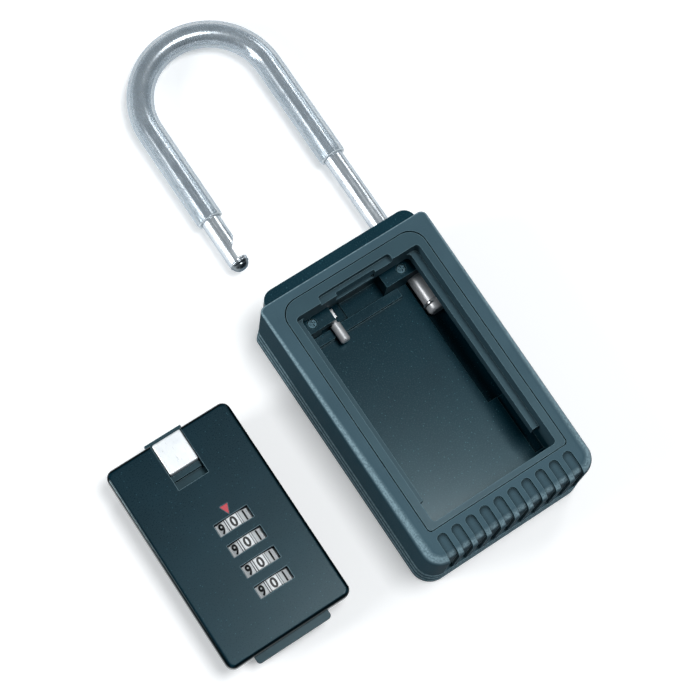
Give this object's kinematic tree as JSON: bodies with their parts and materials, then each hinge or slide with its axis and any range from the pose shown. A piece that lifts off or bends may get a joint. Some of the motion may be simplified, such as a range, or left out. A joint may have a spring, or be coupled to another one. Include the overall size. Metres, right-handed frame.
{
  "type": "combination key safe",
  "caption": "Portable key safe: rubber-jacketed metal box with a sleeved swinging shackle and a lift-off lid with combination wheels and a slide button.",
  "frame": {"origin": "centre of the flat back of the case, on the surface it lies on", "axes": "+X across the case to the pivoting leg's side, +Y from the case toward the shackle, +Z out of the front face"},
  "size_m": [0.1538, 0.2399, 0.038],
  "materials": {
    "jacket": "moulded weather jacket, fine matt grain",
    "frame_paint": "satin blue-grey powder coat",
    "shell_paint": "glossy dark teal coat on die-cast zinc",
    "chrome_bar": "bright plated steel bar",
    "vinyl_sleeve": "clear bluish vinyl tube, glossy",
    "bright_steel": "bright zinc plated steel",
    "screw_zinc": "zinc plated screw",
    "lid_paint": "speckled semi-gloss dark teal coat",
    "lid_inner": "dark satin coat on die-cast zinc",
    "satin_button": "satin silver",
    "index_red": "red paint fill",
    "wheel_silver": "satin silver with black printed digits",
    "hub_brass": "plain turned brass"
  },
  "bodies": {
    "case": {"case_shell": "shell_paint", "front_frame": "frame_paint", "bumper": "jacket", "back_plate": "shell_paint", "shackle_block_left": "shell_paint", "shackle_block_right": "shell_paint", "block_screw_left": "screw_zinc", "block_screw_right": "screw_zinc", "back_screw_1": "screw_zinc", "back_screw_2": "screw_zinc", "back_screw_3": "screw_zinc", "back_screw_4": "screw_zinc"},
    "shackle_collar": {"shackle_retaining_ring": "bright_steel"},
    "shackle": {"shackle": "chrome_bar", "shackle_sleeve": "vinyl_sleeve"},
    "lock_bolt": {"lock_bolt": "bright_steel", "release_pin": "chrome_bar"},
    "detent_ball": {"detent_ball": "bright_steel"},
    "lid": {"lid_shell": "lid_paint", "lid_back_cover": "lid_inner", "hook_plate": "lid_inner", "index_mark": "index_red", "detent_spring": "hub_brass", "latch_spring": "bright_steel", "cover_screw_1": "screw_zinc", "cover_screw_2": "screw_zinc", "cover_screw_3": "screw_zinc", "cover_screw_4": "screw_zinc", "hook_screw_1": "screw_zinc", "hook_screw_2": "screw_zinc"},
    "dial_1": {"dial_wheel_1": "wheel_silver", "code_hub_1": "hub_brass"},
    "dial_2": {"dial_wheel_2": "wheel_silver", "code_hub_2": "hub_brass"},
    "dial_3": {"dial_wheel_3": "wheel_silver", "code_hub_3": "hub_brass"},
    "dial_4": {"dial_wheel_4": "wheel_silver", "code_hub_4": "hub_brass"},
    "latch": {"latch_plate": "lid_inner", "release_button": "satin_button", "button_screw": "screw_zinc", "dial_spindle": "bright_steel", "spindle_clip_1": "bright_steel", "spindle_clip_2": "bright_steel"}
  },
  "joints": [
    {"name": "shackle_lift", "type": "slide", "parent": "case", "child": "shackle_collar", "axis": [0, -1, 0], "range_m": [-0.0115, 0.038]},
    {"name": "shackle_swing", "type": "hinge", "parent": "shackle_collar", "child": "shackle", "pos_m": [0.0275, 0.029, 0.0085], "axis": [0, 1, 0], "continuous": true},
    {"name": "lock_bolt_slide", "type": "slide", "parent": "case", "child": "lock_bolt", "axis": [-1, 0, 0], "range_m": [0, 0.0033]},
    {"name": "lid_carry", "type": "hinge", "parent": "case", "child": "detent_ball", "pos_m": [-0.04515, 0.0249, 0.0264], "axis": [0, 0.9613, -0.2756], "range_deg": [0, 202.97]},
    {"name": "lid_level", "type": "hinge", "parent": "detent_ball", "child": "lid", "pos_m": [-0.0881, 0.01988, 0.0089], "axis": [0, 0.9613, -0.2756], "range_deg": [-202.97, 0]},
    {"name": "dial_1_turn", "type": "hinge", "parent": "lid", "child": "dial_1", "pos_m": [-0.0853, -0.00302, 0.01045], "axis": [0, 1, 0], "continuous": true},
    {"name": "dial_2_turn", "type": "hinge", "parent": "lid", "child": "dial_2", "pos_m": [-0.0853, -0.01202, 0.01045], "axis": [0, 1, 0], "continuous": true},
    {"name": "dial_3_turn", "type": "hinge", "parent": "lid", "child": "dial_3", "pos_m": [-0.0853, -0.02102, 0.01045], "axis": [0, 1, 0], "continuous": true},
    {"name": "dial_4_turn", "type": "hinge", "parent": "lid", "child": "dial_4", "pos_m": [-0.0853, -0.03002, 0.01045], "axis": [0, 1, 0], "continuous": true},
    {"name": "latch_slide", "type": "slide", "parent": "lid", "child": "latch", "axis": [0, 1, 0], "range_m": [-0.005, 0.0025], "stiffness_N_per_m": 300, "deforming": ["latch_spring"]}
  ],
  "couplings": [
    {"joint": "lid_level", "follows": "lid_carry", "ratio": -1}
  ]
}
